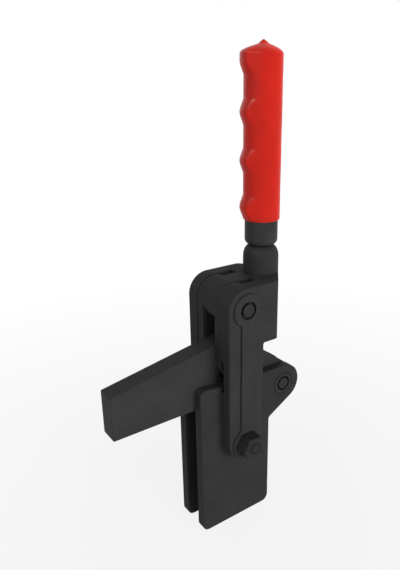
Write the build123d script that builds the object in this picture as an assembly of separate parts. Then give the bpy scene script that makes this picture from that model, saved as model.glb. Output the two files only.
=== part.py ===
"""A heavy weld-on toggle clamp with a vertical handle: two side plates, a solid arm, a forged yoke and a dipped grip.

Millimetres, +Z up. The origin lies on the plane that the side plates stand on, midway between them and under the
yoke's top pivot. +X runs along the clamping arm towards its tip and +Y points at the side that carries the nut.
"""

import os
from math import cos, hypot, radians, sin, atan2, degrees

from build123d import *

# ---- plates, arm and links: bar thickness and the play between neighbours
plate_thick = 8.0
arm_thick = 16.0
side_play = 0.2
run_play = 0.05

# ---- pivots, as (X, Z)
handle_pivot = (0.6, 82.5)
arm_pivot = (-48.2, 114.4)
link_pivot = (0.0, 198.0)
link_length = 46.0
over_centre = 0.3
toggle_pivot = (link_pivot[0] - over_centre, link_pivot[1] - link_length)

# ---- side plates
plate_front_x = 36.0
plate_rear_x = -33.0
plate_front_z = 135.0
plate_dip_x = 5.0
plate_foot_round = 6.2
plate_front_round = 5.0
ear_radius = 16.9
ear_slope = 30.0
ear_fillet = 3.0
edge_break = 0.5

# ---- clamping arm
arm_tip_x = 105.3
arm_tip_top_z = 150.0
arm_bottom_z = 115.0
arm_eye_radius = 16.5
arm_throat_fillet = 18.0
toggle_slot_sweep = 12.2
toggle_slot_play = 0.75
toggle_slot_inset = 0.28

# ---- links
link_end_radius = 16.5

# ---- yoke forging
yoke_round = 17.0
yoke_rear_x = -29.2
cheek_drop = 32.0
leg_radius = 16.1
leg_outer_y = 28.1
pad_height = 1.4
link_pad_radius = 12.9
handle_pad_radius = 13.3
pad_web = 11.8
pad_fillet = 6.0
relief_start = 46.0
relief_length = 29.4
relief_depth = 3.8
yoke_edge = 1.6
cheek_corner = 1.2
boss_x = -34.4
boss_radius = 14.2
boss_height = 22.2
boss_straight = 12.5
boss_cove = 2.6
boss_toe_x = -24.0
boss_toe_radius = 8.0
neck_radius = 8.4

# ---- handle bar and grip
bar_radius = 13.0
bar_gap = 0.5
bar_corner = 4.4
bar_length = 142.5
bar_stud_radius = 8.0
bar_stud_length = 26.0
stud_end_gap = 1.0
grip_start = 19.8
grip_wall = 1.3
grip_top_wall = 3.2
grip_shoulder = 4.0
ridge_count = 4
ridge_first = 10.0
ridge_last = 6.8
ridge_half = 9.4
ridge_crest = 17.2
ridge_band = 3.4
ridge_round = 7.0
ridge_turn = 20.0
nose_radius = 9.1
nose_forward = 10.9
crown_height = 4.1
nipple_height = 3.0
nipple_radius = 4.1
nipple_waist = 2.7
nipple_tip = 1.3

# ---- pins, bushes and the pivot bolt
pin_radius = 6.0
pin_tip_radius = 5.0
pin_tip_length = 3.3
pin_proud = 0.4
sink_radius = 7.2
sink_depth = 3.0
eye_bush_radius = 9.6
link_bush_radius = 8.6
bush_sink_radius = 6.5
bush_chamfer = 0.6
sleeve_radius = 9.0
plate_bush_radius = 11.5
spacer_radius = 13.5
spacer_play = 0.25
bolt_radius = 6.0
hex_flats = 19.0
nut_height = 10.6
head_height = 7.6
bolt_proud = 0.7
bolt_tip_radius = 3.4
thread_radius = 4.7
hex_chamfer = 0.6

# ---- planes across the clamp, worked out from the thicknesses
arm_y = arm_thick / 2
plate_in_y = arm_y + side_play
plate_out_y = plate_in_y + plate_thick
leg_in_y = plate_out_y + side_play
pad_y = leg_outer_y + pad_height
top_z = link_pivot[1] + yoke_round
boss_top_z = top_z + boss_height
bar_bottom_z = boss_top_z + bar_gap
bar_top_z = bar_bottom_z + bar_length
hex_corner_radius = hex_flats / 2 / cos(radians(30))


def slab(sketch, low_y, high_y):
    """Extrudes a sketch drawn in X and Z from low_y to high_y."""
    far_plane = Plane(origin=(0, high_y, 0), x_dir=(1, 0, 0), z_dir=(0, -1, 0))
    return extrude(far_plane * sketch, amount=high_y - low_y)


def disc(centre, radius):
    return Pos(*centre) * Circle(radius)


def outline(*points):
    return make_face(Polyline(*points, close=True))


def box_sketch(low, high):
    middle = ((low[0] + high[0]) / 2, (low[1] + high[1]) / 2)
    return Pos(*middle) * Rectangle(high[0] - low[0], high[1] - low[1])


def capsule(start, end, start_radius, end_radius):
    """The outline of two discs and the tangents that join them."""
    return make_hull((disc(start, start_radius) + disc(end, end_radius)).edges())


def round_corner(sketch, corner, radius):
    """Rounds the one corner of a sketch that lies nearest to a point."""
    nearest = sketch.vertices().sort_by_distance(Vector(corner[0], corner[1], 0))[0]
    return fillet(nearest, radius)


def on_circle(centre, radius, angle):
    return (centre[0] + radius * cos(radians(angle)), centre[1] + radius * sin(radians(angle)))


def face_edges(solid, y):
    """The edges that lie in the plane at one Y."""
    return solid.edges().filter_by_position(Axis.Y, y - 1e-3, y + 1e-3)


def mirrored(solid):
    return mirror(solid, about=Plane.XZ)


def tube(centre, outer, inner, low_y, high_y):
    return slab(disc(centre, outer) - disc(centre, inner), low_y, high_y)


def turned(profile, axis_x):
    """Turns a profile of (radius, Z) points about an upright axis."""
    face = make_face(Polyline(*[(axis_x + r, 0, z) for r, z in profile], close=True))
    return revolve(face, axis=Axis((axis_x, 0, 0), (0, 0, 1)))


# ---- side plates ----------------------------------------------------------------------------------------------
def plate_sketch():
    ear_top = (arm_pivot[0], arm_pivot[1] + ear_radius)
    ear_toe = on_circle(arm_pivot, ear_radius, 270 - ear_slope)
    heel_z = ear_toe[1] - (plate_rear_x - ear_toe[0]) * sin(radians(ear_slope)) / cos(radians(ear_slope))
    sheet = outline(
        (plate_rear_x, 0),
        (plate_front_x, 0),
        (plate_front_x, plate_front_z),
        (plate_dip_x, ear_top[1]),
        ear_top,
        arm_pivot,
        ear_toe,
        (plate_rear_x, heel_z),
    )
    sheet = sheet + disc(arm_pivot, ear_radius)
    sheet = round_corner(sheet, (plate_rear_x, 0), plate_foot_round)
    sheet = round_corner(sheet, (plate_front_x, 0), plate_foot_round)
    sheet = round_corner(sheet, (plate_front_x, plate_front_z), plate_front_round)
    sheet = round_corner(sheet, (plate_rear_x, heel_z), ear_fillet)
    return sheet - disc(arm_pivot, eye_bush_radius) - disc(handle_pivot, plate_bush_radius)


def bush_mouth():
    """The countersink at an ear's bore that leaves a groove round the bush's broken rim."""
    mouth = disc(arm_pivot, eye_bush_radius + bush_chamfer)
    floor = disc(arm_pivot, eye_bush_radius)
    lower = Plane(origin=(0, plate_out_y - bush_chamfer, 0), x_dir=(1, 0, 0), z_dir=(0, -1, 0))
    upper = Plane(origin=(0, plate_out_y, 0), x_dir=(1, 0, 0), z_dir=(0, -1, 0))
    return loft([lower * floor, upper * mouth], ruled=True)


def side_plate():
    plate = slab(plate_sketch(), plate_in_y, plate_out_y)
    outer = face_edges(plate, plate_out_y)
    plate = chamfer(outer.filter_by(GeomType.CIRCLE, reverse=True), edge_break)
    return plate - bush_mouth()


# ---- clamping arm ---------------------------------------------------------------------------------------------
def arm_sketch():
    """A tapered bar whose top runs tangent to the disc round the toggle pivot, with an eye at its rear."""
    tip_top = (arm_tip_x, arm_tip_top_z)
    run, rise = tip_top[0] - toggle_pivot[0], tip_top[1] - toggle_pivot[1]
    touch = degrees(atan2(rise, run)) + degrees(acos_of(arm_eye_radius / hypot(run, rise)))
    bar = outline(
        tip_top,
        on_circle(toggle_pivot, arm_eye_radius, touch),
        toggle_pivot,
        (arm_pivot[0], arm_bottom_z),
        (arm_tip_x, arm_bottom_z),
    )
    blank = bar + capsule(toggle_pivot, arm_pivot, arm_eye_radius, arm_eye_radius)
    return round_corner(blank, throat_corner(), arm_throat_fillet)


def acos_of(value):
    return atan2((1 - value * value) ** 0.5, value)


def throat_corner():
    """Where the lower tangent of the two discs meets the bar's bottom edge."""
    run, rise = toggle_pivot[0] - arm_pivot[0], toggle_pivot[1] - arm_pivot[1]
    lean = degrees(atan2(rise, run))
    foot = on_circle(arm_pivot, arm_eye_radius, lean - 90)
    return (foot[0] + (arm_bottom_z - foot[1]) * run / rise, arm_bottom_z)


def toggle_slot():
    """The arc-shaped clearance round the open pivot, struck about the arm's own pivot."""
    run, rise = toggle_pivot[0] - arm_pivot[0], toggle_pivot[1] - arm_pivot[1]
    reach = hypot(run, rise) - toggle_slot_inset
    start = degrees(atan2(rise, run))
    half = pin_radius + toggle_slot_play
    ring = disc(arm_pivot, reach + half) - disc(arm_pivot, reach - half)
    far = 2 * reach
    wedge = outline(
        arm_pivot,
        on_circle(arm_pivot, far, start),
        on_circle(arm_pivot, far, start - toggle_slot_sweep),
    )
    ends = disc(on_circle(arm_pivot, reach, start), half)
    ends = ends + disc(on_circle(arm_pivot, reach, start - toggle_slot_sweep), half)
    return (ring & wedge) + ends


def clamping_arm():
    sketch = arm_sketch() - disc(arm_pivot, eye_bush_radius) - toggle_slot()
    arm = slab(sketch, -arm_y, arm_y)
    return chamfer(arm.edges().group_by(Axis.X)[-1], edge_break)


# ---- links ----------------------------------------------------------------------------------------------------
def link():
    sketch = capsule(link_pivot, toggle_pivot, link_end_radius, link_end_radius)
    sketch = sketch - disc(link_pivot, link_bush_radius) - disc(toggle_pivot, pin_radius)
    return slab(sketch, plate_in_y, plate_out_y)


# ---- yoke forging ---------------------------------------------------------------------------------------------
def cheek_sketch():
    """One leg and the cheek above it, seen from the side."""
    low_z = link_pivot[1] - cheek_drop
    leg = capsule(link_pivot, handle_pivot, yoke_round, leg_radius)
    cheek = box_sketch((yoke_rear_x, low_z), (link_pivot[0], top_z))
    face = leg + cheek
    face = round_corner(face, (yoke_rear_x, low_z), cheek_corner)
    return round_corner(face, (handle_pivot[0] - leg_radius, low_z), cheek_corner)


def leg_relief():
    """The pocket on the inner face of a leg that clears the toggle pin and the arm pivot as the leg swings past."""
    low_z = handle_pivot[1] + relief_start
    section = Pos(leg_in_y, low_z) * Rectangle(2 * relief_depth, relief_length, align=(Align.CENTER, Align.MIN))
    corner = (leg_in_y + relief_depth, low_z + relief_length)
    section = round_corner(section, corner, relief_depth * 0.98)
    side_plane = Plane(origin=(2 * yoke_rear_x, 0, 0), x_dir=(0, 1, 0), z_dir=(1, 0, 0))
    return extrude(side_plane * section, amount=-4 * yoke_rear_x)


def pad():
    """The raised dog-bone on a leg's outer face, concentric with both pivots."""
    half = pad_web / 2
    web = outline(
        (handle_pivot[0] - half, handle_pivot[1]),
        (handle_pivot[0] + half, handle_pivot[1]),
        (link_pivot[0] + half, link_pivot[1]),
        (link_pivot[0] - half, link_pivot[1]),
    )
    face = web + disc(link_pivot, link_pad_radius) + disc(handle_pivot, handle_pad_radius)
    waist = (handle_pad_radius**2 - half**2) ** 0.5
    for side in (-1, 1):
        face = round_corner(face, (handle_pivot[0] + side * half, handle_pivot[1] + waist), pad_fillet)
    return slab(face, leg_outer_y, pad_y)


def yoke_side():
    side = slab(cheek_sketch(), leg_in_y, leg_outer_y)
    side = fillet(face_edges(side, leg_outer_y), yoke_edge)
    return side - leg_relief() + pad()


def yoke_bridge():
    """The rear wall between the cheeks and the round web that stands between the two link slots."""
    low_z = link_pivot[1] - cheek_drop
    wall_x = toggle_pivot[0] - link_end_radius - run_play
    wall = slab(box_sketch((yoke_rear_x, low_z), (wall_x, top_z)), -leg_in_y, leg_in_y)
    web_z = top_z - link_end_radius
    web = disc((link_pivot[0], web_z), link_end_radius)
    web = web + box_sketch((wall_x, web_z - link_end_radius), (link_pivot[0], top_z))
    return wall + slab(web, -arm_y, arm_y)


def boss_plan(centre_x, radius):
    """The taper from the block's full width to a round end behind it, seen from above."""
    half = leg_outer_y - yoke_edge
    strip = Pos(yoke_rear_x, 0) * Rectangle(2 * yoke_edge, 2 * half)
    return make_hull((Pos(centre_x, 0) * Circle(radius) + strip).edges())


def handle_boss():
    """The round stub that takes the bar, and the web that tapers away beneath it down the block's rear."""
    low_z = link_pivot[1] - cheek_drop
    head = Plane.XY.offset(top_z) * boss_plan(boss_x, boss_radius)
    toe = Plane.XY.offset(low_z) * boss_plan(boss_toe_x, boss_toe_radius)
    web = loft([toe, head], ruled=True)
    tall = extrude(head, amount=boss_cove)
    cove = turned([(0, top_z), (boss_radius + boss_cove, top_z), *cove_points(), (0, top_z + boss_cove)], boss_x)
    stub = turned([(0, top_z), *stub_points(), (0, boss_top_z)], boss_x)
    return web + (cove & tall) + stub


def cove_points():
    steps = 6
    centre = (boss_radius + boss_cove, top_z + boss_cove)
    return [
        (centre[0] - boss_cove * sin(radians(90 * i / steps)), centre[1] - boss_cove * cos(radians(90 * i / steps)))
        for i in range(1, steps + 1)
    ]


def stub_points():
    """The straight wall and the round shoulder that runs in to the neck."""
    steps = 8
    in_run, up_run = boss_radius - neck_radius, boss_height - boss_straight
    return [(boss_radius, top_z)] + [
        (
            neck_radius + in_run * cos(radians(90 * i / steps)),
            top_z + boss_straight + up_run * sin(radians(90 * i / steps)),
        )
        for i in range(steps + 1)
    ]


def pivot_bores():
    """Both pivot bores through the forging, with the top one sunk at each pad, and the bore for the bar's stud."""
    top = slab(disc(link_pivot, pin_radius), -pad_y, pad_y)
    low = slab(disc(handle_pivot, bolt_radius + run_play), -pad_y, pad_y)
    sink = Plane(origin=(link_pivot[0], pad_y, link_pivot[1]), z_dir=(0, 1, 0))
    cup = extrude(sink * Circle(sink_radius), amount=-sink_depth)
    stud = Pos(boss_x, 0, boss_top_z) * Cylinder(
        bar_stud_radius + run_play, bar_stud_length, align=(Align.CENTER, Align.CENTER, Align.MAX)
    )
    return top + low + cup + mirrored(cup) + stud


def handle_yoke():
    side = yoke_side()
    return side + mirrored(side) + yoke_bridge() + handle_boss() - pivot_bores()


# ---- handle bar and grip --------------------------------------------------------------------------------------
def bar_body():
    bar = Pos(boss_x, 0, bar_bottom_z) * Cylinder(
        bar_radius, bar_length, align=(Align.CENTER, Align.CENTER, Align.MIN)
    )
    return fillet(bar.edges().filter_by(GeomType.CIRCLE), bar_corner)


def handle_bar():
    stud_length = bar_corner + bar_gap + bar_stud_length - stud_end_gap
    stud = Pos(boss_x, 0, bar_bottom_z + bar_corner) * Cylinder(
        bar_stud_radius, stud_length, align=(Align.CENTER, Align.CENTER, Align.MAX)
    )
    return bar_body() + stud


def grip_section():
    """The grip across a ridge: the round sleeve drawn out to a nose, which is cut back to the crest's round."""
    sleeve = Circle(bar_radius + grip_wall)
    nose = make_hull((sleeve + Pos(nose_forward, 0) * Circle(nose_radius)).edges()) & Circle(ridge_crest)
    return Pos(boss_x, 0) * Rot(0, 0, -ridge_turn) * nose


def finger_ridge(middle_z):
    """A ridge between two finger hollows, whose flanks are turned about the bar and run out at the sides."""
    root, band = bar_radius + grip_wall, ridge_band / 2
    flanks = [(0, middle_z - ridge_half), (root, middle_z - ridge_half), (ridge_crest, middle_z - band)]
    flanks += [(ridge_crest, middle_z + band), (root, middle_z + ridge_half), (0, middle_z + ridge_half)]
    block = extrude(Plane.XY.offset(middle_z - ridge_half) * grip_section(), amount=2 * ridge_half)
    ridge = block & turned(flanks, boss_x)
    crest_edges = [e for z in (middle_z - band, middle_z + band) for e in level_edges(ridge, z)]
    return fillet(crest_edges, ridge_round)


def level_edges(solid, z):
    """The edges that lie in the plane at one Z."""
    return solid.edges().filter_by_position(Axis.Z, z - 1e-3, z + 1e-3)


def grip_head(middle_z, shoulder_z):
    """The top ridge, which runs straight on up to a rounded shoulder, and the crown that slopes in to the nipple."""
    root, foot_z, crown_z = bar_radius + grip_wall, middle_z - ridge_half, shoulder_z + crown_height
    block = extrude(Plane.XY.offset(foot_z) * grip_section(), amount=shoulder_z - foot_z)
    crown_top = Pos(boss_x, 0) * Circle(nipple_radius)
    crown = loft([Plane.XY.offset(shoulder_z) * grip_section(), Plane.XY.offset(crown_z) * crown_top], ruled=True)
    head = block + crown
    head = fillet(level_edges(head, shoulder_z), grip_shoulder)
    band_z, reach = middle_z - ridge_band / 2, 2 * ridge_crest
    flank = [(0, foot_z), (root, foot_z), (ridge_crest, band_z), (reach, band_z), (reach, crown_z), (0, crown_z)]
    nipple = [(0, crown_z - crown_height / 2), (nipple_radius, crown_z), (nipple_waist, crown_z + nipple_height * 0.3)]
    nipple += [(nipple_tip, crown_z + nipple_height * 0.75), (0, crown_z + nipple_height)]
    return (head & turned(flank, boss_x)) + turned(nipple, boss_x)


def grip():
    start_z = bar_bottom_z + grip_start
    shoulder_z = bar_top_z + grip_top_wall - crown_height
    top_ridge_z = shoulder_z - ridge_last
    pitch = (top_ridge_z - start_z - ridge_first) / (ridge_count - 1)
    sleeve = Pos(boss_x, 0, start_z) * Cylinder(
        bar_radius + grip_wall, top_ridge_z - start_z, align=(Align.CENTER, Align.CENTER, Align.MIN)
    )
    solid = sleeve + grip_head(top_ridge_z, shoulder_z)
    for i in range(ridge_count - 1):
        solid = solid + finger_ridge(start_z + ridge_first + i * pitch)
    return solid - bar_body()


# ---- pins, bushes and the pivot bolt --------------------------------------------------------------------------
def staked_pin(centre, end_y):
    """A plain pin whose two ends are turned down, then staked over in the sunk mouths of their bores."""
    tip_y = end_y - pin_tip_length
    body = slab(disc(centre, pin_radius), -tip_y, tip_y)
    return body + slab(disc(centre, pin_tip_radius), -end_y, end_y)


def ear_bush():
    """A hardened bush in a plate's ear, with its outer rim broken and a sunk mouth for the staked pin."""
    bush = slab(disc(arm_pivot, eye_bush_radius), plate_in_y, plate_out_y)
    bush = chamfer(face_edges(bush, plate_out_y), bush_chamfer) - slab(disc(arm_pivot, pin_radius), 0, plate_out_y)
    return bush - slab(disc(arm_pivot, bush_sink_radius), plate_out_y - sink_depth, plate_out_y)


def hexagon(base_y, face_y):
    """A hexagon from its seat at base_y to its free face, where the corners are turned off to a cone."""
    low_y, high_y = min(base_y, face_y), max(base_y, face_y)
    blank = slab(Pos(*handle_pivot) * RegularPolygon(hex_corner_radius, 6), low_y, high_y)
    cone = chamfer(face_edges(slab(disc(handle_pivot, hex_corner_radius), low_y, high_y), face_y), hex_chamfer)
    return blank & cone


def pivot_bolt():
    end_y = pad_y + nut_height + bolt_proud
    shank = slab(disc(handle_pivot, bolt_radius), -pad_y, pad_y)
    thread = slab(disc(handle_pivot, thread_radius), pad_y, end_y)
    thread = chamfer(face_edges(thread, end_y), thread_radius - bolt_tip_radius)
    return hexagon(-pad_y, -pad_y - head_height) + shank + thread


def pivot_nut():
    bore = slab(disc(handle_pivot, thread_radius), pad_y, pad_y + nut_height)
    return hexagon(pad_y, pad_y + nut_height) - bore


plate = side_plate()
near_link = link()
near_ear_bush = ear_bush()
near_plate_bush = tube(handle_pivot, plate_bush_radius, sleeve_radius + run_play, plate_in_y, plate_out_y)
near_link_bush = tube(link_pivot, link_bush_radius, pin_radius + run_play, plate_in_y, plate_out_y)

pieces = {
    "near_side_plate": plate,
    "far_side_plate": mirrored(plate),
    "near_ear_bush": near_ear_bush,
    "far_ear_bush": mirrored(near_ear_bush),
    "near_plate_bush": near_plate_bush,
    "far_plate_bush": mirrored(near_plate_bush),
    "plate_spacer": tube(handle_pivot, spacer_radius, sleeve_radius + spacer_play, -plate_in_y, plate_in_y),
    "arm_pivot_pin": staked_pin(arm_pivot, plate_out_y),
    "clamping_arm": clamping_arm(),
    "arm_eye_bush": tube(arm_pivot, eye_bush_radius, pin_radius + run_play, -arm_y, arm_y),
    "near_link": near_link,
    "far_link": mirrored(near_link),
    "near_link_bush": near_link_bush,
    "far_link_bush": mirrored(near_link_bush),
    "toggle_pin": staked_pin(toggle_pivot, plate_out_y),
    "handle_yoke": handle_yoke(),
    "link_pin": staked_pin(link_pivot, pad_y + pin_proud),
    "pivot_sleeve": tube(handle_pivot, sleeve_radius, bolt_radius + run_play, -leg_in_y, leg_in_y),
    "pivot_bolt": pivot_bolt(),
    "pivot_nut": pivot_nut(),
    "handle_bar": handle_bar(),
    "grip": grip(),
}

os.makedirs("parts", exist_ok=True)
for name, piece in pieces.items():
    export_step(piece, f"parts/{name}.step")
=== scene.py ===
import math

import bpy
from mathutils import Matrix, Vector


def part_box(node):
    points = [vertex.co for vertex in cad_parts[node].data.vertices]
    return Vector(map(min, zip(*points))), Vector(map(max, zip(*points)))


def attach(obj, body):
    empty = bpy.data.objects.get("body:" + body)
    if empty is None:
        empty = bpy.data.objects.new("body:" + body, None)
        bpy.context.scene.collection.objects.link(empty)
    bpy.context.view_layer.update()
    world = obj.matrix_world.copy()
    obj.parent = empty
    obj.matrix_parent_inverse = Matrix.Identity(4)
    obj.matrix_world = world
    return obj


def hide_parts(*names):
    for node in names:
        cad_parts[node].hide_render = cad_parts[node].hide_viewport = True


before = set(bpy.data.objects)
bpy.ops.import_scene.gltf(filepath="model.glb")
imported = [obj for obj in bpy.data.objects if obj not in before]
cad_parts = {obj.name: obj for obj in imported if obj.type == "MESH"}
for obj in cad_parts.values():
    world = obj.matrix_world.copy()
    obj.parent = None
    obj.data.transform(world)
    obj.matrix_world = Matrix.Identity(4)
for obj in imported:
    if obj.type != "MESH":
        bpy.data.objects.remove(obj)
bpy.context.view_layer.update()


# ---- Side plates ------------------------------------------------------------------------------------------------
# Two plates cut from 8 mm rolled flat bar and blackened. They stand on their lower edges, which are welded to the
# fixture. The rolled faces keep a faint grain from front to back, and the black has rubbed thin along the edges. The
# finishes here also paint their edges lighter as a highlight, and darken seams and inside corners as painted shade.
class Wire:
    """One output of a shader node. Sums on wires add their own Math nodes."""

    def __init__(self, tree, socket=None):
        self.tree = tree
        self.socket = socket

    def node(self, kind, inputs, settings=None, output=0):
        """Adds a node, sets it up, feeds its sockets and returns one of its outputs."""
        made = self.tree.nodes.new(kind)
        for name, value in (settings or {}).items():
            setattr(made, name, value)
        for name, value in inputs.items():
            socket = made.inputs[name]
            if isinstance(value, Wire):
                self.tree.links.new(value.socket, socket)
            elif socket.type == "RGBA":
                socket.default_value = (*value, 1.0)
            else:
                socket.default_value = value
        return Wire(self.tree, made.outputs[output] if made.outputs else None)

    def sum(self, operation, *terms):
        return self.node("ShaderNodeMath", dict(enumerate(terms)), {"operation": operation})

    def __add__(self, other):
        return self.sum("ADD", self, other)

    def __sub__(self, other):
        return self.sum("SUBTRACT", self, other)

    def __rsub__(self, other):
        return self.sum("SUBTRACT", other, self)

    def __mul__(self, other):
        return self.sum("MULTIPLY", self, other)

    def __pow__(self, other):
        return self.sum("POWER", self, other)

    __radd__ = __add__
    __rmul__ = __mul__

    def along(self, axis):
        """One of the three numbers of a vector."""
        return self.node("ShaderNodeSeparateXYZ", {0: self}, output="XYZ".index(axis))

    def stretched(self, *factors):
        return self.node("ShaderNodeVectorMath", {0: self, 1: factors}, {"operation": "MULTIPLY"})

    def noise(self, per_metre, detail):
        return self.node("ShaderNodeTexNoise", {"Vector": self, "Scale": per_metre, "Detail": detail})

    def between(self, low, high):
        """0 below low, 1 above high and straight between them."""
        return self.node("ShaderNodeMapRange", {"Value": self, "From Min": low, "From Max": high})

    def tint(self, first, second):
        """Mixes two colours, with this wire as the share of the second."""
        return self.node("ShaderNodeMix", {0: self, 6: first, 7: second}, {"data_type": "RGBA"}, output=2)


def new_finish(name):
    """An empty material, and a wire on its tree to start from."""
    material = bpy.data.materials.new(name)
    material.use_nodes = True
    material.node_tree.nodes.clear()
    return material, Wire(material.node_tree)


def close_finish(start, shader):
    start.node("ShaderNodeOutputMaterial", {"Surface": shader})


def dress(material, *nodes):
    """Gives frame nodes a finish in place of the plain one that they come with."""
    for node in nodes:
        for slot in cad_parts[node].material_slots:
            slot.material = material


def shades(tone, *factors):
    """One tone, made darker or lighter by each factor."""
    return [tuple(part * factor for part in tone) for factor in factors]


def soft_edges(start, radius):
    """The normal with each sharp edge rounded over a radius, and a mask that is 1 along those edges."""
    face = start.node("ShaderNodeNewGeometry", {}, output=1)
    rounded = start.node("ShaderNodeBevel", {"Radius": radius}, {"samples": 8})
    facing = start.node("ShaderNodeVectorMath", {0: face, 1: rounded}, {"operation": "DOT_PRODUCT"}, output=1)
    return rounded, (1 - facing).between(0.015, 0.16)


# Painted shade in seams and inside corners: how far a point looks for surfaces that close it in, and the black.
seam_reach = 0.0022
seam_shade_black = (0.004, 0.004, 0.004)


def painted_seam_shade(start, colour, own_corners):
    """Painted shade: darkens a colour in seams and inside corners, as far as nearby surfaces close in round a point.
    """
    settings = {"samples": 6, "only_local": own_corners}
    open_share = start.node("ShaderNodeAmbientOcclusion", {"Distance": seam_reach}, settings, output=1)
    return open_share.between(0.15, 0.80).tint(seam_shade_black, colour)


def close_oxide(start, colour, rubbed_and_highlit, roughness, gloss, height, rounded):
    """Closes a black oxide finish, a little metallic where it is rubbed, with its relief on the rounded normal."""
    relief = {"Strength": 0.6, "Distance": 1.0, "Height": height, "Normal": rounded}
    shader = start.node(
        "ShaderNodeBsdfPrincipled",
        {
            "Base Color": colour,
            "Metallic": rubbed_and_highlit * 0.3,
            "Roughness": roughness,
            "Specular IOR Level": gloss,
            "Normal": start.node("ShaderNodeBump", relief),
        },
    )
    close_finish(start, shader)


def blackened_steel(name, tone, grain, grain_height, skin_per_metre, skin_height, roughness):
    """Black oxide on steel: cloudy dark skin, a worked grain, a fine skin texture and edges rubbed thin. The edges
    are also painted lighter as a highlight, and its own seams and inside corners are darkened as painted shade.
    """
    material, start = new_finish(name)
    place = start.node("ShaderNodeTexCoord", {}, output=3)
    cloud = place.noise(38.0, 4.0)
    skin = place.noise(skin_per_metre, 2.0)
    lines = place.stretched(*grain).noise(60.0, 2.0)
    rounded, edges = soft_edges(start, radius=0.0005)
    # Edges rubbed thin to bare steel, and painted lighter as a highlight along every edge, inside corners too.
    rubbed_and_highlit = edges * place.noise(420.0, 4.0).between(0.35, 0.75)
    dark, light, bare_and_highlit = shades(tone, 0.91, 1.13, 2.6)
    worn_and_highlit = (rubbed_and_highlit * 0.5).tint(cloud.between(0.32, 0.70).tint(dark, light), bare_and_highlit)
    # The colour is darkened in the part's own seams and inside corners as painted shade.
    close_oxide(
        start,
        colour=painted_seam_shade(start, worn_and_highlit, own_corners=True),
        rubbed_and_highlit=rubbed_and_highlit,
        roughness=(cloud - 0.5) * 0.16 + (lines - 0.5) * 0.10 + roughness - rubbed_and_highlit * 0.12,
        gloss=0.02,
        height=lines * grain_height + skin * skin_height,
        rounded=rounded,
    )
    return material


oxide_black = (0.039, 0.039, 0.040)
rolled_grain_height = 0.000012
rolled_skin_per_metre, rolled_skin_height = 1600.0, 0.000030
plate_steel = blackened_steel(
    "rolled_plate",
    oxide_black,
    grain=(0.4, 6.0, 6.0),
    grain_height=rolled_grain_height,
    skin_per_metre=rolled_skin_per_metre,
    skin_height=rolled_skin_height,
    roughness=0.52,
)
dress(plate_steel, "near_side_plate", "far_side_plate")

# ---- Clamping arm -----------------------------------------------------------------------------------------------
# One solid tapered bar of 16 mm steel, milled on its sides and top and blackened. The user welds a pad on its tip.
# The milling runs along the bar, finer and straighter than the plates' rolled grain.
arm_steel = blackened_steel(
    "milled_arm",
    (0.044, 0.044, 0.045),
    grain=(0.25, 14.0, 14.0),
    grain_height=0.000014,
    skin_per_metre=2200.0,
    skin_height=0.000018,
    roughness=0.47,
)
dress(arm_steel, "clamping_arm")

# ---- Links ------------------------------------------------------------------------------------------------------
# Two round-ended links punched from the same 8 mm bar as the plates, with the grain running up and down. They hang
# on hardened bushes from the pin through the yoke's cheeks, and hold the toggle pin pressed in at their lower ends.
link_steel = blackened_steel(
    "punched_link",
    oxide_black,
    grain=(6.0, 6.0, 0.4),
    grain_height=rolled_grain_height,
    skin_per_metre=rolled_skin_per_metre,
    skin_height=rolled_skin_height,
    roughness=0.50,
)
dress(link_steel, "near_link", "far_link")

# ---- Yoke -------------------------------------------------------------------------------------------------------
# A drop forging with two legs, a bridge and a rear boss, shot-blasted before it was blackened. The blasting leaves
# a fine even pebble with no direction, and softens every edge.
forged_steel = blackened_steel(
    "blasted_forging",
    (0.041, 0.041, 0.042),
    grain=(1.0, 1.0, 1.0),
    grain_height=0.0,
    skin_per_metre=1100.0,
    skin_height=0.000085,
    roughness=0.56,
)
dress(forged_steel, "handle_yoke")


# ---- Bushes and pins --------------------------------------------------------------------------------------------
# Turned and hardened steel, pressed in and staked over at the ends. The faces keep the lathe's fine rings about
# each pivot, and are a little smoother and darker than the plates.
lathe_feed = 0.00045


def turned_steel(name, tone, axis, centre, roughness, ring_height=0.000010):
    """Black oxide over the rings that a lathe leaves about an axis through a point of the frame. Its edges are
    rubbed thin and painted lighter as a highlight, and seams against any part are darkened as painted shade.
    """
    material, start = new_finish(name)
    place = start.node("ShaderNodeTexCoord", {}, output=3)
    across = [place.along(a) - centre["XYZ".index(a)] for a in "XYZ" if a != axis]
    radius = (across[0] * across[0] + across[1] * across[1]) ** 0.5
    rings = start.sum("SINE", (radius + place.along(axis)) * (math.tau / lathe_feed))
    cloud = place.noise(70.0, 3.0)
    skin = place.noise(1500.0, 2.0)
    rounded, edges = soft_edges(start, radius=0.0004)
    # Edges rubbed thin, and painted lighter as a highlight along every edge.
    rubbed_and_highlit = edges * cloud.between(0.35, 0.6)
    dark, light, bare_and_highlit = shades(tone, 0.85, 1.2, 2.6)
    worn_and_highlit = (rubbed_and_highlit * 0.5).tint(cloud.between(0.3, 0.7).tint(dark, light), bare_and_highlit)
    # The colour is darkened in seams against any part as painted shade.
    close_oxide(
        start,
        colour=painted_seam_shade(start, worn_and_highlit, own_corners=False),
        rubbed_and_highlit=rubbed_and_highlit,
        roughness=(cloud - 0.5) * 0.12 + roughness,
        gloss=0.06,
        height=rings * ring_height + skin * 0.000012,
        rounded=rounded,
    )
    return material


def pivot_at(node):
    """The middle of a round node, which is a point on its pivot's axis."""
    low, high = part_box(node)
    return tuple((a + b) / 2 for a, b in zip(low, high))


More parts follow.
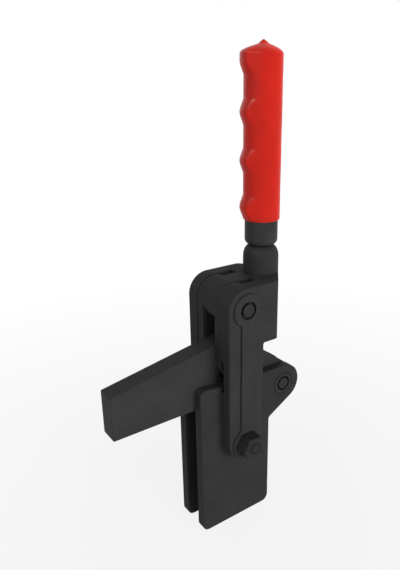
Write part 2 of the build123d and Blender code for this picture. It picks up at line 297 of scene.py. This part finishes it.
pin_black = (0.033, 0.033, 0.034)
for pivot, centre_node, held in (
    ("arm_pivot", "arm_pivot_pin", ("arm_pivot_pin", "near_ear_bush", "far_ear_bush", "arm_eye_bush")),
    ("toggle", "toggle_pin", ("toggle_pin",)),
    ("link_pivot", "link_pin", ("link_pin", "near_link_bush", "far_link_bush")),
    ("main_pivot", "pivot_sleeve", ("pivot_sleeve", "plate_spacer", "near_plate_bush", "far_plate_bush")),
):
    pivot_steel = turned_steel(pivot + "_turned", pin_black, "Y", pivot_at(centre_node), roughness=0.46)
    dress(pivot_steel, *held)


# ---- Pivot bolt and nut -----------------------------------------------------------------------------------------
# A turned shoulder bolt, with its head on one side of the yoke and a full nut run tight against the other side. The
# corners of both hexagons are turned to a cone, and the bolt's thread ends in a chamfer just proud of the nut.
smooth_below = math.radians(28)


def skin_over(name, rings, finish, closed=False):
    """A mesh over rings of points, each ring with as many points as the others, capped at both ends or closed."""
    around = len(rings[0])
    faces = []
    for i in range(len(rings) if closed else len(rings) - 1):
        here, there = i * around, (i + 1) % len(rings) * around
        for j in range(around):
            k = (j + 1) % around
            faces.append((here + j, here + k, there + k, there + j))
    if not closed:
        last = (len(rings) - 1) * around
        faces.append(tuple(range(around))[::-1])
        faces.append(tuple(range(last, last + around)))
    mesh = bpy.data.meshes.new(name)
    mesh.from_pydata([p for ring in rings for p in ring], [], faces)
    mesh.validate()
    piece = bpy.data.objects.new(name, mesh)
    bpy.context.scene.collection.objects.link(piece)
    mesh.materials.append(finish)
    bpy.context.view_layer.objects.active = piece
    piece.select_set(True)
    bpy.ops.object.mode_set(mode="EDIT")
    bpy.ops.mesh.select_all(action="SELECT")
    bpy.ops.mesh.normals_make_consistent(inside=False)
    bpy.ops.object.mode_set(mode="OBJECT")
    bpy.ops.object.shade_smooth_by_angle(angle=smooth_below)
    piece.select_set(False)
    return piece


nut_x, _, nut_z = pivot_at("pivot_nut")
(_, nut_in_y, nut_low_z), (_, nut_out_y, nut_high_z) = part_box("pivot_nut")
nut_steps = 96
nut_angles = [math.tau * step / nut_steps for step in range(nut_steps)]
half_flats = (nut_high_z - nut_low_z) / 2
hex_side = math.radians(60)
cone_slope = math.tan(math.radians(30))
seat_radius = half_flats * 0.97
face_radius = half_flats * 1.06
rim_gap = 0.00005
thread_radius = 0.0047
mouth_depth = 0.0004


def nut_point(radius, angle, y):
    return (nut_x + radius * math.cos(angle), y, nut_z + radius * math.sin(angle))


def round_ring(radius, y):
    return [nut_point(radius, angle, y) for angle in nut_angles]


def hex_reach(angle):
    """From the nut's axis to the hexagon's side, with a corner at angle 0."""
    return half_flats / math.cos(angle % hex_side - hex_side / 2)


def hex_ring(y, outward, flat_radius):
    """The hexagon where a cone cuts it back from a flat of one radius: the corners lie further back."""
    ring = []
    for angle in nut_angles:
        drop = max(0.0, hex_reach(angle) - flat_radius) * cone_slope
        ring.append(nut_point(hex_reach(angle), angle, y - outward * drop))
    return ring


def flat_ring(y, flat_radius):
    """The edge of an end face: the cone's circle, or just inside the hexagon where that is nearer."""
    return [nut_point(min(flat_radius, hex_reach(angle) - rim_gap), angle, y) for angle in nut_angles]


bolt_black = (0.026, 0.026, 0.027)
bolt_steel = turned_steel(
    "bolt_black", bolt_black, "Y", pivot_at("pivot_nut"), roughness=0.42, ring_height=0.000004
)
dress(bolt_steel, "pivot_bolt")

nut = skin_over(
    "hex_nut",
    [
        round_ring(thread_radius, nut_in_y + mouth_depth),
        round_ring(thread_radius + mouth_depth, nut_in_y),
        flat_ring(nut_in_y, seat_radius),
        hex_ring(nut_in_y, -1, seat_radius),
        hex_ring(nut_out_y, 1, face_radius),
        flat_ring(nut_out_y, face_radius),
        round_ring(thread_radius + mouth_depth, nut_out_y),
        round_ring(thread_radius, nut_out_y - mouth_depth),
    ],
    bolt_steel,
    closed=True,
)
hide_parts("pivot_nut")
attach(nut, "handle")

# ---- Handle bar -------------------------------------------------------------------------------------------------
# A turned bar with a screwed end that is run down into the boss. Its lower shoulder is rounded, and most of its
# length is inside the grip.
bar_steel = turned_steel("turned_bar", oxide_black, "Z", pivot_at("handle_bar"), roughness=0.48)
dress(bar_steel, "handle_bar")

# ---- Grip -------------------------------------------------------------------------------------------------------
# A soft red vinyl sleeve, dip-moulded over the bar. Its front is drawn out into finger ridges that run out at the
# sides, and its closed top ends in the small nipple that the dip leaves.
(_, grip_low_y, grip_low_z), (_, grip_high_y, grip_high_z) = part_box("grip")
grip_x = pivot_at("handle_bar")[0]
grip_steps = 180
grip_angles = [math.tau * step / grip_steps for step in range(grip_steps)]
sleeve_radius = (grip_high_y - grip_low_y) / 2
crest_radius = 0.0172
crest_ease = 0.0005
root_ease = 0.0002

# The nose is the round that the ridges are drawn out to, and two flat sides run from it back to the sleeve.
nose_turn = math.radians(20)
nose_radius, nose_forward = 0.0091, 0.0109
nose_side = math.acos((sleeve_radius - nose_radius) / nose_forward)

nipple_height, nipple_radius, nipple_blunt = 0.0030, 0.0041, 0.12
crown_z = grip_high_z - nipple_height
crown_height = 0.0041
shoulder_ease = 0.0075

head_ridge_drop, low_ridge_rise = 0.0068, 0.0100
head_ridge_z = crown_z - crown_height - head_ridge_drop
low_ridge_z = grip_low_z + low_ridge_rise
ridge_gaps = 3
ridge_pitch = (head_ridge_z - low_ridge_z) / ridge_gaps
ridge_half, ridge_band = 0.0094, 0.0034


def soft_max(a, b, width):
    """The larger of two lengths, with the corner between them eased over a width."""
    share = max(0.0, min(1.0, 0.5 + 0.5 * (a - b) / width))
    return b + (a - b) * share + width * share * (1 - share)


def soft_min(a, b, width):
    return -soft_max(-a, -b, width)


def section_reach(angle):
    """From the bar's axis to the section across a ridge: round, but for two flat sides that meet the crest's arc."""
    off_nose = abs((angle + nose_turn + math.pi) % math.tau - math.pi)
    side = sleeve_radius / math.cos(max(0.0, nose_side - off_nose))
    return soft_min(side, crest_radius, crest_ease)


def flank_reach(z):
    """How far the nearest ridge stands out at one height: two straight flanks and a rounded crest."""
    nearest = low_ridge_z + ridge_pitch * max(0, min(ridge_gaps, round((z - low_ridge_z) / ridge_pitch)))
    slope = (crest_radius - sleeve_radius) / (ridge_half - ridge_band / 2)
    off = 0.0 if z > head_ridge_z else z - nearest
    return crest_radius + slope * (ridge_band / 2 - math.hypot(off, ridge_band / 2))


def grip_reach(angle, z):
    """The sleeve's radius in one direction at one height, with ridge, shoulder and crown."""
    section = section_reach(angle)
    drawn_out = soft_max(sleeve_radius, soft_min(section, flank_reach(z), crest_ease), root_ease)
    crown = nipple_radius + (section - nipple_radius) * (crown_z - z) / crown_height
    return soft_min(drawn_out, crown, shoulder_ease)


def ring_about_bar(reaches, z):
    """A ring round the bar's axis, from its reach in each direction."""
    return [
        (grip_x + reach * math.cos(angle), reach * math.sin(angle), z) for angle, reach in zip(grip_angles, reaches)
    ]


def grip_ring(z, inset=0.0):
    return ring_about_bar([grip_reach(angle, z) - inset for angle in grip_angles], z)


def plain_ring(radius, z):
    return ring_about_bar([radius] * grip_steps, z)


bore_radius, bore_depth, bore_lip = 0.01302, 0.004, 0.0003
hem, crown_lead = 0.0009, 0.003
body_low, body_high = grip_low_z + hem, crown_z - crown_height - crown_lead
hem_steps, body_steps, crown_steps, nipple_steps = 6, 220, 26, 14

grip_rings = [plain_ring(bore_radius, grip_low_z + rise) for rise in (bore_depth, bore_lip)]
for step in range(hem_steps):
    angle = math.radians(90) * step / hem_steps
    grip_rings.append(grip_ring(grip_low_z + hem * (1 - math.cos(angle)), hem * (1 - math.sin(angle))))
grip_rings += [grip_ring(body_low + (body_high - body_low) * i / body_steps) for i in range(body_steps)]
grip_rings += [grip_ring(body_high + (crown_z - body_high) * i / crown_steps) for i in range(crown_steps)]
for step in range(nipple_steps):
    share = 1 - step / nipple_steps
    drop = math.hypot(share, nipple_blunt) - nipple_blunt
    rise = nipple_height * (1 - drop / (math.hypot(1, nipple_blunt) - nipple_blunt))
    grip_rings.append(plain_ring(nipple_radius * share, crown_z + rise))


def vinyl(name, colour):
    """Soft vinyl with a dipped skin: a faint orange peel, shallow runs down the sides and slow clouds of colour."""
    material, start = new_finish(name)
    place = start.node("ShaderNodeTexCoord", {}, output=3)
    cloud = place.noise(55.0, 3.0)
    peel = place.noise(700.0, 2.0)
    runs = place.stretched(9.0, 9.0, 1.0).noise(22.0, 2.0)
    deep, bright = shades(colour, 0.92, 1.06)
    height = peel * 0.00006 + runs * 0.00008 + cloud * 0.0002
    normal = start.node("ShaderNodeBump", {"Strength": 0.5, "Distance": 1.0, "Height": height})
    shader = start.node(
        "ShaderNodeBsdfPrincipled",
        {
            "Base Color": cloud.between(0.3, 0.7).tint(deep, bright),
            "Roughness": (cloud - 0.5) * 0.18 + (peel - 0.5) * 0.06 + 0.38,
            "Specular IOR Level": 0.10,
            "Diffuse Roughness": 1.0,
            "Subsurface Weight": 0.2,
            "Subsurface Radius": (1.0, 0.25, 0.15),
            "Subsurface Scale": 0.014,
            "Normal": normal,
        },
    )
    close_finish(start, shader)
    return material


grip_red = (0.70, 0.025, 0.014)
grip_skin = skin_over("dipped_grip", grip_rings, vinyl("red_vinyl", grip_red))
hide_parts("grip")
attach(grip_skin, "handle")

# ---- Floor, light and camera ------------------------------------------------------------------------------------
# A plain pale floor that takes the clamp's soft shadow near its foot and clears to white further out, in an even
# white surround. A large soft lamp stands on the nut's side, a small one and one for gloss alone off the arm's tip,
# and a weak one on the far side.
floor_half = 4.0
floor_corners = [(x * floor_half, y * floor_half, 0) for x, y in ((-1, -1), (1, -1), (1, 1), (-1, 1))]
floor_mesh = bpy.data.meshes.new("floor")
floor_mesh.from_pydata(floor_corners, [], [(0, 1, 2, 3)])
floor = bpy.data.objects.new("floor", floor_mesh)
bpy.context.scene.collection.objects.link(floor)


def backdrop_rays(start):
    """1 for the rays that see the backdrop: from the camera, in gloss and through glass."""
    camera_ray, glossy_ray, through_ray = (start.node("ShaderNodeLightPath", {}, output=n) for n in (0, 3, 6))
    return start.sum("MAXIMUM", camera_ray, start.sum("MAXIMUM", glossy_ray, through_ray))


floor_paint, start = new_finish("floor_paint")
place = start.node("ShaderNodeTexCoord", {}, output=3)
away = start.node("ShaderNodeVectorMath", {0: place}, {"operation": "LENGTH"}, output=1)
pure_white = (1.0, 1.0, 1.0)
matt_grey = (0.62, 0.62, 0.62)
shadow_share = 0.15
matt = start.node("ShaderNodeBsdfDiffuse", {"Color": matt_grey})
white = start.node("ShaderNodeEmission", {"Color": pure_white, "Strength": 1.0})
clear = (away.between(0.10, 0.60) * shadow_share + (1 - shadow_share)) * backdrop_rays(start)
close_finish(start, start.node("ShaderNodeMixShader", {0: clear, 1: matt, 2: white}))
floor_mesh.materials.append(floor_paint)

world = bpy.data.worlds.new("surround")
bpy.context.scene.world = world
world.use_nodes = True
world.node_tree.nodes.clear()
sky = Wire(world.node_tree)
surround_level = 0.32
level = backdrop_rays(sky) * (1 - surround_level) + surround_level
backdrop = sky.node("ShaderNodeBackground", {"Color": pure_white, "Strength": level})
sky.node("ShaderNodeOutputWorld", {"Surface": backdrop})

aim = Vector((0.0, 0.0, 0.17))


def soft_lamp(name, direction, distance, size, level):
    """A square lamp that lights a facing white surface at the aim to a level."""
    lamp = bpy.data.lights.new(name, "AREA")
    lamp.size = size
    lamp.energy = level * math.pi**2 * distance**2
    holder = bpy.data.objects.new(name, lamp)
    bpy.context.scene.collection.objects.link(holder)
    toward = Vector(direction).normalized()
    holder.location = aim + toward * distance
    holder.rotation_euler = toward.to_track_quat("Z", "Y").to_euler()
    return holder


key_lamp = soft_lamp("key_lamp", (-0.12, 0.95, 0.14), distance=1.6, size=1.1, level=0.80)
key_lamp.visible_glossy = False
soft_lamp("fill_lamp", (0.87, 0.20, 0.45), distance=1.6, size=0.35, level=0.10)
gloss_lamp = soft_lamp("gloss_lamp", (0.78, 0.05, 0.68), distance=1.6, size=0.7, level=1.7)
gloss_lamp.visible_diffuse = False
soft_lamp("far_lamp", (0.10, -0.90, 0.35), distance=1.8, size=1.4, level=0.14)

camera_data = bpy.data.cameras.new("camera")
camera_data.sensor_fit = "HORIZONTAL"
camera_data.sensor_width = 36.0
camera_data.lens = 50.50
camera_data.shift_x = -0.0957
camera = bpy.data.objects.new("camera", camera_data)
bpy.context.scene.collection.objects.link(camera)
camera.location = (0.2360, 0.3342, 0.3585)
camera.rotation_euler = (math.radians(70.03), 0.0, math.radians(143.41))
bpy.context.scene.camera = camera
bpy.context.scene.view_settings.view_transform = "Standard"
